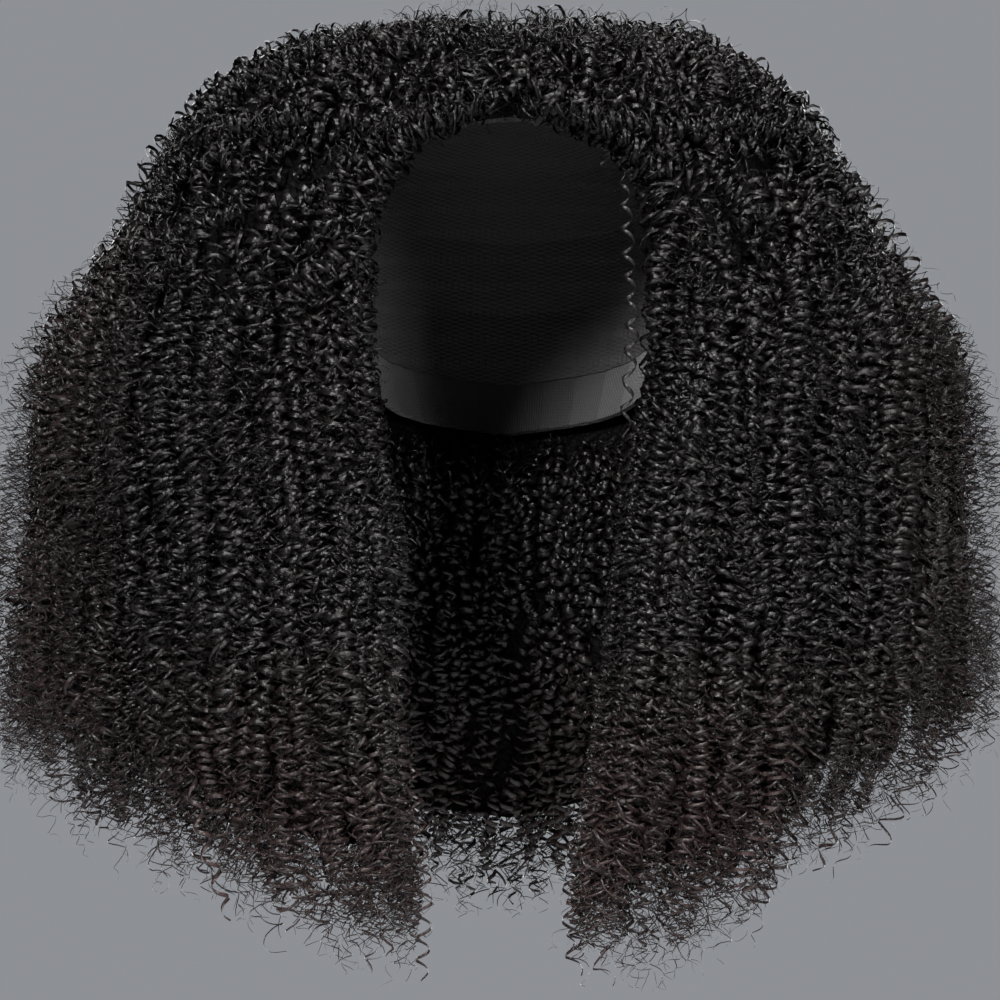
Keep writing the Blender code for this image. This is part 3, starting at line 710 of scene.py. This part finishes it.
def felt_mesh(name, side, shares, levels, columns=26, rows=22):
    """The matted hair of one block, closed all round."""
    u = np.linspace(0, 1, columns)
    v = np.linspace(0, 1, rows)
    u, v = np.meshgrid(u, v, indexing="ij")
    share = shares[0] + (shares[1] - shares[0]) * u
    sides = np.full_like(u, float(side))
    last = np.minimum(levels[1], ends_level(sides, share) - FELT_SHORT)
    level = levels[0] + (last - levels[0]) * v
    full = hair_point(sides, share, level, np.ones_like(u))
    free = hair_point(sides, share, level, np.zeros_like(u))
    thick = np.linalg.norm(full - free, axis=-1)
    sink = FELT_SINK + LOCK_SINK * lock_valleys(sides, share, level) + AIRY_DEPTH * airiness(share, level)
    outer = np.clip(1 - sink / thick, 0.1, 1)
    inner = np.clip(FELT_LIFT / thick, 0, 0.3)
    skins = [free + (full - free) * outer[..., None], free + (full - free) * inner[..., None]]
    points = np.concatenate([skin.reshape(-1, 3) for skin in skins])
    number = np.arange(columns * rows).reshape(columns, rows)
    faces = []
    for offset, flip in ((0, 1), (columns * rows, -1)):
        n = number + offset
        quads = np.stack([n[:-1, :-1], n[1:, :-1], n[1:, 1:], n[:-1, 1:]], -1).reshape(-1, 4)
        faces += [tuple(int(i) for i in q[::flip]) for q in quads]
    rim = [*number[:, 0], *number[-1, 1:], *number[-2::-1, -1], *number[0, -2:0:-1]]
    for a, b in zip(rim, rim[1:] + rim[:1]):
        faces.append((int(a), int(b), int(b) + columns * rows, int(a) + columns * rows))
    mesh = bpy.data.meshes.new(name)
    mesh.from_pydata(points.tolist(), [], faces)
    mesh.shade_smooth()
    piece = bpy.data.objects.new(name, mesh)
    bpy.context.scene.collection.objects.link(piece)
    finish_piece(piece, felt)


def finish_piece(piece, finish, *nodes):
    piece.data.materials.append(finish.material)
    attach(piece, "root")
    if nodes:
        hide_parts(*nodes)


CROWN_LEVELS = (TOP, -0.02)
CROWN_SEED = 11
CROWN_LAYERS = [
    (230, Layer(DEEP, (0.04, 0.10), (0.005, 0.011), sway=0.8, drift=0.6)),
    (215, Layer(SPRING, (0.04, 0.10), (0.001, 0.007), sway=0.8, drift=0.6)),
    (190, Layer(LOOSE, (0.02, 0.06), (0.000, 0.005), sway=1.0, drift=0.6)),
    (80, Layer(FINE, (0.03, 0.08), (-0.001, 0.003), sway=0.9, drift=0.6)),
    (90, Layer(WISP, (0.02, 0.06), (-0.003, 0.002), sway=1.0, drift=0.6)),
    (125, Layer(FRIZZ, (0.02, 0.06), (-0.008, 0.001), sway=1.0, drift=0.5)),
]

# The curls that line the edge over the face.
RIM_LEVELS = (-0.56, -0.02)
RIM_SHARES = (0, 0.03)
RIM_DEPTHS = 0.3, 0.65, 1.0
RIM_COUNT = 16  # of each kind at each depth
RIM_LAYERS = [Layer(curl, (0.03, 0.06), (-0.001, 0.003), sway=0.3) for curl in (LOOSE, SPRING)]


def crown_batches(side):
    rng = np.random.default_rng(CROWN_SEED + side)
    for count, layer in CROWN_LAYERS:
        yield grow(rng, layer, count, (0, 1, (side,)), CROWN_LEVELS)
    for depth in RIM_DEPTHS:
        for layer in RIM_LAYERS:
            yield grow(rng, layer, RIM_COUNT, (*RIM_SHARES, (side,)), RIM_LEVELS, depth)


for side, name in SIDES.items():
    finish_piece(ribbon_mesh(f"{name}_top_curls", crown_batches(side)), hair, "crown_curls")
    felt_mesh(f"{name}_top_felt", side, (0, 1), (-0.999, 0.02), columns=40, rows=18)

# The curtains, sides and back: the same hair, longer, which hangs from the cap's sides in springs side by
# side, over the shoulders and down to the chest. Its ends are thinner, frizzed out and lit brown.
Block = namedtuple("Block", "node side start end deep springs fine loose wisps frizz tips lining seed")
BLOCKS = [
    Block("left_front_curls", -1, 0.00, 0.29, 182, 162, 50, 50, 50, 90, 44, 8, 21),
    Block("right_front_curls", 1, 0.00, 0.29, 182, 162, 50, 50, 50, 90, 44, 8, 22),
    Block("left_side_curls", -1, 0.29, 0.60, 144, 80, 42, 30, 115, 185, 40, 16, 23),
    Block("right_side_curls", 1, 0.29, 0.60, 144, 80, 42, 30, 115, 185, 40, 16, 24),
    Block("back_left_curls", -1, 0.60, 1.00, 136, 108, 34, 40, 60, 80, 32, 84, 25),
    Block("back_right_curls", 1, 0.60, 1.00, 136, 108, 34, 40, 60, 80, 32, 84, 26),
]
BLOCK_LAYERS = {
    "deep": Layer(DEEP, (0.07, 0.18), (0.006, 0.012), sway=0.22, short=0.036, over=0.02),
    "springs": Layer(SPRING, (0.07, 0.18), (0.001, 0.008), sway=0.25, short=0.022, over=0.02),
    "fine": Layer(FINE, (0.05, 0.12), (-0.002, 0.005), sway=0.3, short=0.010),
    "loose": Layer(LOOSE, (0.05, 0.12), (-0.002, 0.005), sway=0.35, short=0.006),
    "wisps": Layer(WISP, (0.04, 0.12), (-0.003, 0.004), sway=0.5, lift=0.004, airy=(0, 1)),
    "frizz": Layer(FRIZZ, (0.03, 0.09), (-0.007, 0.004), sway=0.7, lift=0.010, airy=(0, 1)),
}
WHOLE = (-0.06, 0.94)

# The curls on the inner side of each block, over all of it and once more under the band.
LINING = Layer(DEEP, (0.06, 0.14), (-0.004, -0.003), sway=0.35, short=0.02, airy=(0, 0))
BAND_LINING = LINING._replace(lengths=(0.05, 0.10))
LINING_DEPTH = 0.02
INSIDE = (0.24, 0.90)
UNDER_BAND = (0.24, 0.30)

# The curls that hang out at the ends, thin ones and some wide open ones, at several depths.
TIPS = Layer(TIP, (0.04, 0.10), (-0.001, 0.004), sway=0.45, over=0.014, airy=(0, 0.5))
LOOPS = TIPS._replace(curl=LOOP, lengths=(0.03, 0.08))
LOOP_COUNT = 9  # at each depth
AT_ENDS = (-0.26, -0.10)
END_DEPTHS = 0.3, 0.6, 0.9, 1.0

# The curls along the opening.
EDGE = Layer(SPRING, (0.08, 0.18), (-0.001, 0.002), sway=0.15, short=0.01)
EDGE_COUNT = 13  # at each depth
EDGE_SHARES = (0, 0.012)
EDGE_DEPTHS = 0.12, 0.35, 0.6, 0.85


def block_batches(block):
    rng = np.random.default_rng(block.seed)
    shares = (block.start, block.end, (block.side,))
    for kind, layer in BLOCK_LAYERS.items():
        yield grow(rng, layer, getattr(block, kind), shares, WHOLE)
    yield grow(rng, LINING, block.lining, shares, INSIDE, LINING_DEPTH)
    yield grow(rng, BAND_LINING, block.lining // 2, shares, UNDER_BAND, LINING_DEPTH)
    for depth in END_DEPTHS:
        yield grow(rng, TIPS, block.tips, shares, AT_ENDS, depth, at_ends=True)
        yield grow(rng, LOOPS, LOOP_COUNT, shares, AT_ENDS, depth, at_ends=True)
    if block.start == 0:
        for depth in EDGE_DEPTHS:
            yield grow(rng, EDGE, EDGE_COUNT, (*EDGE_SHARES, (block.side,)), WHOLE, depth)


for block in BLOCKS:
    curls = ribbon_mesh(block.node.replace("_curls", "_springs"), block_batches(block))
    finish_piece(curls, hair, block.node)
    shares = (0.03 if block.start == 0 else block.start, block.end)
    felt_mesh(block.node.replace("_curls", "_felt"), block.side, shares, (-0.02, 1.0))

# Single curls that have sprung free: a thick one down the right side of the face, corkscrews that stretch out
# below the ends, and bumpy ones along the outline. They are the same hair, held at their roots only.
TENDRIL_CURL = Curl(radius=0.0036, pitch=0.0088, width=0.0023, steps=12, kink=0.15)
CORKSCREW = Curl(radius=0.0036, pitch=0.0112, width=0.0018, steps=12, kink=0.15)
BUMPY = Curl(radius=0.0044, pitch=0.0092, width=0.0016, steps=12, kink=0.25)
Place = namedtuple("Place", "x y z")
TENDRIL = [
    Place(0.0445, -0.090, -0.048),
    Place(0.0480, -0.104, -0.085),
    Place(0.0485, -0.112, -0.120),
    Place(0.0465, -0.117, -0.162),
]
INNER_CORKSCREW = [
    Place(-0.0400, -0.108, -0.284),
    Place(-0.0370, -0.123, -0.318),
    Place(-0.0345, -0.126, -0.350),
    Place(-0.0350, -0.124, -0.380),
]
Hanging = namedtuple("Hanging", "side share level length")
HANGING = [
    Hanging(-1, 0.060, 0.72, 0.068),
    Hanging(-1, 0.200, 0.66, 0.068),
    Hanging(1, 0.004, 0.68, 0.084),
    Hanging(1, 0.030, 0.72, 0.074),
    Hanging(1, 0.110, 0.70, 0.068),
    Hanging(1, 0.170, 0.66, 0.070),
    Hanging(1, 0.280, 0.60, 0.062),
]
HANGING_SWAY = 0.15
HANGING_LIFT = 0.002  # above the hair's surface
BUMPY_LAYER = Layer(BUMPY, (0.05, 0.09), (-0.004, 0), sway=0.4)
BUMPY_COUNT = 26  # on each stretch of levels
BUMPY_LEVELS = (-0.97, -0.60), (-0.60, 0.10)
BUMPY_SHARES = (0.34, 0.62)
free_random = np.random.default_rng(31)


def hung_batch(curl, places):
    """One curl through some places."""
    steps = np.linspace(0, 1, GUIDE_POINTS)
    rows = np.linspace(0, 1, len(places))
    guide = np.stack([eased(rows, column(places, axis), steps) for axis in Place._fields], -1)
    ahead = np.broadcast_to([0.0, -1.0, 0.0], guide.shape)
    length = np.linalg.norm(np.diff(guide, axis=0), axis=1).sum()
    return wind(free_random, curl, guide[None], ahead[None], np.array([length]), np.zeros(1))


def hanging_batch():
    side, share, level, length = (column(HANGING, name) for name in Hanging._fields)
    depth = np.ones(len(side))
    guides, outs = trace(free_random, side, share, level, length, depth, HANGING_SWAY, 0.0)
    return wind(free_random, CORKSCREW, guides, outs, length, -HANGING_LIFT * depth)


free_batches = [hung_batch(TENDRIL_CURL, TENDRIL), hung_batch(CORKSCREW, INNER_CORKSCREW), hanging_batch()]
for side in SIDES:
    for levels in BUMPY_LEVELS:
        along_outline = (*BUMPY_SHARES, (side,))
        free_batches.append(grow(free_random, BUMPY_LAYER, BUMPY_COUNT, along_outline, levels))
finish_piece(ribbon_mesh("free_curls", free_batches), hair)

# Studio: a pale floor that glows a little, as if lit all over, soft boxes at both sides in front, above and
# behind, and a level camera halfway up the hair, as far off as a portrait is taken from.
CAMERA_PLACE = (-0.0043, -1.8, -0.187)
CAMERA_LENS = 150.7
FLOOR_HEIGHT = -1.6
FLOOR_HALF_WIDTH = 30.0
FLOOR_NEAR, FLOOR_FAR = -30.0, 6.0
BACKDROP_COLOUR = (0.27, 0.28, 0.30)
BACKDROP_GLOW = 0.20  # share of its brightness that lights the hair
FLOOR_COLOURS = (0.62, 0.63, 0.65), (0.66, 0.67, 0.69)
FLOOR_FAR_COLOUR = (0.05, 0.05, 0.05)
FLOOR_GLOW_COLOUR = (0.10, 0.10, 0.11)
FLOOR_FADE = 1.5, 5.5  # distances between which it fades into the backdrop
AIM = Vector((0, 0, -0.2))  # of the soft boxes


def soft_box(name, place, size, power):
    """A square lamp with sides of a size, and its power in watts."""
    lamp = bpy.data.lights.new(name, "AREA")
    lamp.shape, lamp.size, lamp.energy = "SQUARE", size, power
    holder = bpy.data.objects.new(name, lamp)
    holder.location = place
    holder.rotation_euler = (AIM - Vector(place)).to_track_quat("-Z", "Y").to_euler()
    bpy.context.scene.collection.objects.link(holder)


soft_box("key", (-0.9, -2.1, 1.0), 0.45, 104)
soft_box("fill", (1.3, -1.9, 0.4), 0.5, 47)
soft_box("top", (0.2, -0.6, 1.9), 0.9, 80)
soft_box("back", (0.0, 2.4, -0.3), 3.0, 105)

sides = (-FLOOR_HALF_WIDTH, FLOOR_HALF_WIDTH)
corners = [(x, y, FLOOR_HEIGHT) for y in (FLOOR_NEAR, FLOOR_FAR) for x in sides]
floor_mesh = bpy.data.meshes.new("floor")
floor_mesh.from_pydata(corners, [], [(0, 1, 3, 2)])
floor = bpy.data.objects.new("floor", floor_mesh)
bpy.context.scene.collection.objects.link(floor)
paint = Finish("floor_paint", Roughness=0.9, Emission_Strength=1.0)
x, y, _ = paint.axes(paint.place())
far = paint.node("ShaderNodeMapRange", {"clamp": True}, (x * x + y * y) ** 0.5, *FLOOR_FADE, 0.0, 1.0)
uneven = paint.mix(paint.noise(3.0), *FLOOR_COLOURS)
paint.wear(
    Base_Color=paint.mix(far, uneven, FLOOR_FAR_COLOUR),
    Emission_Color=paint.mix(far, FLOOR_GLOW_COLOUR, BACKDROP_COLOUR),
)
floor.data.materials.append(paint.material)

world = bpy.data.worlds.new("studio")
world.use_nodes = True
backdrop = world.node_tree.nodes["Background"]
backdrop.inputs["Color"].default_value = (*BACKDROP_COLOUR, 1)
seen = world.node_tree.nodes.new("ShaderNodeLightPath")
lit = world.node_tree.nodes.new("ShaderNodeMapRange")
lit.inputs["To Min"].default_value = BACKDROP_GLOW
world.node_tree.links.new(seen.outputs["Is Camera Ray"], lit.inputs["Value"])
world.node_tree.links.new(lit.outputs["Result"], backdrop.inputs["Strength"])
bpy.context.scene.world = world

camera = bpy.data.objects.new("camera", bpy.data.cameras.new("camera"))
camera.data.lens = CAMERA_LENS
camera.data.sensor_width = 36
camera.location = CAMERA_PLACE
camera.rotation_euler = (math.pi / 2, 0, 0)
bpy.context.scene.collection.objects.link(camera)
bpy.context.scene.camera = camera
bpy.context.scene.view_settings.view_transform = "Standard"
